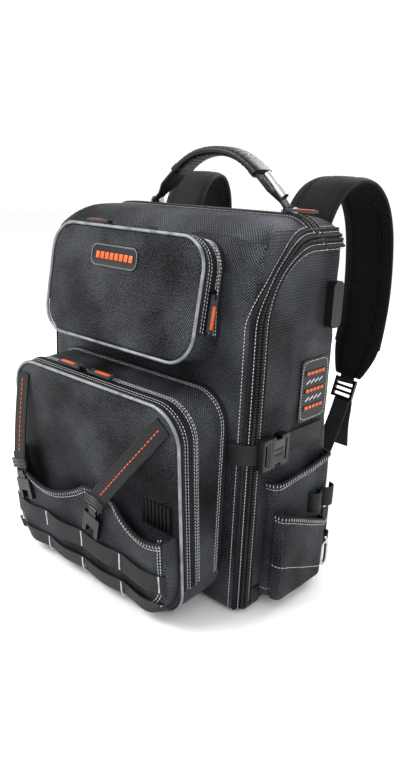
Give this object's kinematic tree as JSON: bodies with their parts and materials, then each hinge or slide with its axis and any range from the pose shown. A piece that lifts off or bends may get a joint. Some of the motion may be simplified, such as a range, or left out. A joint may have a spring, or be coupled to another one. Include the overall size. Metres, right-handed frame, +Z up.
{
  "type": "tool and travel backpack",
  "caption": "Black clamshell backpack with two zipped front pockets, a front pouch with webbing rows, side pockets, carry handle and padded shoulder straps.",
  "frame": {"origin": "middle of the base's underside, on the surface the pack stands on", "axes": "+Z up, -Y the front that faces away from the wearer, +X the side with the charging port"},
  "size_m": [0.422, 0.4298, 0.5565],
  "materials": {
    "ballistic_nylon": "woven charcoal-black ballistic nylon",
    "nylon_webbing": "black nylon webbing",
    "zip_tape": "black zip tape with coil teeth",
    "reflective_piping": "silver-grey reflective piping",
    "orange_lining": "orange polyester lining",
    "air_mesh": "black spacer mesh over foam",
    "moulded_rubber": "matt black moulded rubber",
    "buckle_plastic": "satin black acetal",
    "slider_metal": "black lacquered zinc",
    "pull_rubber": "grey soft PVC",
    "satin_steel": "satin stainless steel"
  },
  "bodies": {
    "pack": {"base_panel": "ballistic_nylon", "side_wall_right": "ballistic_nylon", "side_wall_left": "ballistic_nylon", "top_panel": "ballistic_nylon", "back_panel": "ballistic_nylon", "main_zip_rear": "zip_tape", "corner_guards": "moulded_rubber", "back_pad": "air_mesh", "laptop_divider": "orange_lining", "tool_panel": "orange_lining", "usb_port": "moulded_rubber", "side_patch": "moulded_rubber", "phone_pocket": "ballistic_nylon", "small_pocket": "ballistic_nylon", "bottle_pocket": "ballistic_nylon", "side_webbing": "nylon_webbing", "compression_straps": "nylon_webbing", "compression_catches": "buckle_plastic", "handle_anchors": "satin_steel", "shoulder_strap_right": "ballistic_nylon", "shoulder_strap_left": "ballistic_nylon", "strap_webbing": "nylon_webbing"},
    "lid": {"lid_shell": "ballistic_nylon", "main_zip_front": "zip_tape", "lid_lining": "orange_lining", "upper_gusset": "ballistic_nylon", "upper_zip_rear": "zip_tape", "lower_gusset": "ballistic_nylon", "lower_zip_rear": "zip_tape", "compression_tabs": "nylon_webbing", "compression_prongs": "buckle_plastic"},
    "upper_door_body": {"upper_door": "ballistic_nylon", "upper_piping": "reflective_piping", "badge": "moulded_rubber", "upper_zip_front": "zip_tape"},
    "lower_door_body": {"lower_door": "ballistic_nylon", "lower_piping": "reflective_piping", "lower_zip_front": "zip_tape", "pouch": "ballistic_nylon", "molle_rows": "nylon_webbing", "front_strap_right": "nylon_webbing", "front_strap_left": "nylon_webbing"},
    "front_buckle_right_body": {"front_buckle_right": "buckle_plastic"},
    "front_buckle_left_body": {"front_buckle_left": "buckle_plastic"},
    "handle": {"handle_webbing": "nylon_webbing", "handle_grip": "moulded_rubber", "handle_rod": "satin_steel"},
    "ladder_lock_right_body": {"ladder_lock_right": "buckle_plastic"},
    "ladder_lock_left_body": {"ladder_lock_left": "buckle_plastic"},
    "tape_hook_body": {"tape_hook": "satin_steel"},
    "main_slider_body": {"main_slider": "slider_metal"},
    "main_pull_body": {"main_pull": "pull_rubber"},
    "upper_top_slider_body": {"upper_top_slider": "slider_metal"},
    "upper_top_pull_body": {"upper_top_pull": "pull_rubber"},
    "upper_side_slider_body": {"upper_side_slider": "slider_metal"},
    "upper_side_pull_body": {"upper_side_pull": "pull_rubber"},
    "lower_left_slider_body": {"lower_left_slider": "slider_metal"},
    "lower_left_pull_body": {"lower_left_pull": "pull_rubber"},
    "lower_right_slider_body": {"lower_right_slider": "slider_metal"},
    "lower_right_pull_body": {"lower_right_pull": "pull_rubber"}
  },
  "joints": [
    {"name": "lid_hinge", "type": "hinge", "parent": "pack", "child": "lid", "pos_m": [0, -0.086, 0.004], "axis": [1, 0, 0], "range_deg": [0, 80]},
    {"name": "upper_door_hinge", "type": "hinge", "parent": "lid", "child": "upper_door_body", "pos_m": [0, -0.13404, 0.31353], "axis": [1, 0, 0], "range_deg": [0, 60]},
    {"name": "lower_door_hinge", "type": "hinge", "parent": "lid", "child": "lower_door_body", "pos_m": [0, -0.14801, 0.00624], "axis": [1, 0, 0], "range_deg": [0, 40]},
    {"name": "main_slider_run", "type": "slide", "parent": "pack", "child": "main_slider_body", "axis": [1, 0, 0], "range_m": [-0.12, 0.005]},
    {"name": "upper_top_slider_run", "type": "slide", "parent": "lid", "child": "upper_top_slider_body", "axis": [1, 0, 0], "range_m": [-0.04, 0.1]},
    {"name": "upper_side_slider_run", "type": "slide", "parent": "lid", "child": "upper_side_slider_body", "axis": [0, 0.1564, 0.9877], "range_m": [-0.035, 0.015]},
    {"name": "lower_left_slider_run", "type": "slide", "parent": "lid", "child": "lower_left_slider_body", "axis": [1, 0, 0], "range_m": [-0.07, 0]},
    {"name": "lower_right_slider_run", "type": "slide", "parent": "lid", "child": "lower_right_slider_body", "axis": [1, 0, 0], "range_m": [0, 0.115]},
    {"name": "main_pull_turn", "type": "hinge", "parent": "main_slider_body", "child": "main_pull_body", "pos_m": [0.133, 0.03, 0.4829], "axis": [0, -1, 0], "range_deg": [0, 100]},
    {"name": "upper_top_pull_turn", "type": "hinge", "parent": "upper_top_slider_body", "child": "upper_top_pull_body", "pos_m": [-0.049, -0.09591, 0.45835], "axis": [0, 0.9877, -0.1564], "range_deg": [0, 90]},
    {"name": "upper_side_pull_turn", "type": "hinge", "parent": "upper_side_slider_body", "child": "upper_side_pull_body", "pos_m": [0.141, -0.10639, 0.39217], "axis": [0, -0.9877, 0.1564], "range_deg": [0, 100]},
    {"name": "lower_left_pull_turn", "type": "hinge", "parent": "lower_left_slider_body", "child": "lower_left_pull_body", "pos_m": [-0.034, -0.15511, 0.28156], "axis": [0, 0.9968, 0.0802], "range_deg": [0, 60]},
    {"name": "lower_right_pull_turn", "type": "hinge", "parent": "lower_right_slider_body", "child": "lower_right_pull_body", "pos_m": [-0.014, -0.15511, 0.28156], "axis": [0, -0.9968, -0.0802], "range_deg": [0, 60]},
    {"name": "front_buckle_right_swing", "type": "hinge", "parent": "lower_door_body", "child": "front_buckle_right_body", "pos_m": [0.033, -0.18737, 0.12132], "axis": [-0.9707, -0.0193, 0.2394], "range_deg": [0, 60]},
    {"name": "ladder_lock_right_tilt", "type": "hinge", "parent": "pack", "child": "ladder_lock_right_body", "pos_m": [0.1455, 0.19075, 0.23924], "axis": [0.9974, -0.0179, -0.0692], "range_deg": [0, 30]},
    {"name": "front_buckle_left_swing", "type": "hinge", "parent": "lower_door_body", "child": "front_buckle_left_body", "pos_m": [-0.121, -0.18721, 0.11933], "axis": [-0.9707, 0.0193, -0.2394], "range_deg": [0, 60]},
    {"name": "ladder_lock_left_tilt", "type": "hinge", "parent": "pack", "child": "ladder_lock_left_body", "pos_m": [-0.1455, 0.19075, 0.23924], "axis": [0.9974, 0.0179, 0.0692], "range_deg": [0, 30]},
    {"name": "handle_swing", "type": "hinge", "parent": "pack", "child": "handle", "pos_m": [0, 0.054, 0.482], "axis": [1, 0, 0], "range_deg": [-45, 0]},
    {"name": "tape_hook_swing", "type": "hinge", "parent": "pack", "child": "tape_hook_body", "pos_m": [0.207, 0.066, 0.056], "axis": [0, -1, 0], "range_deg": [0, 80]}
  ]
}
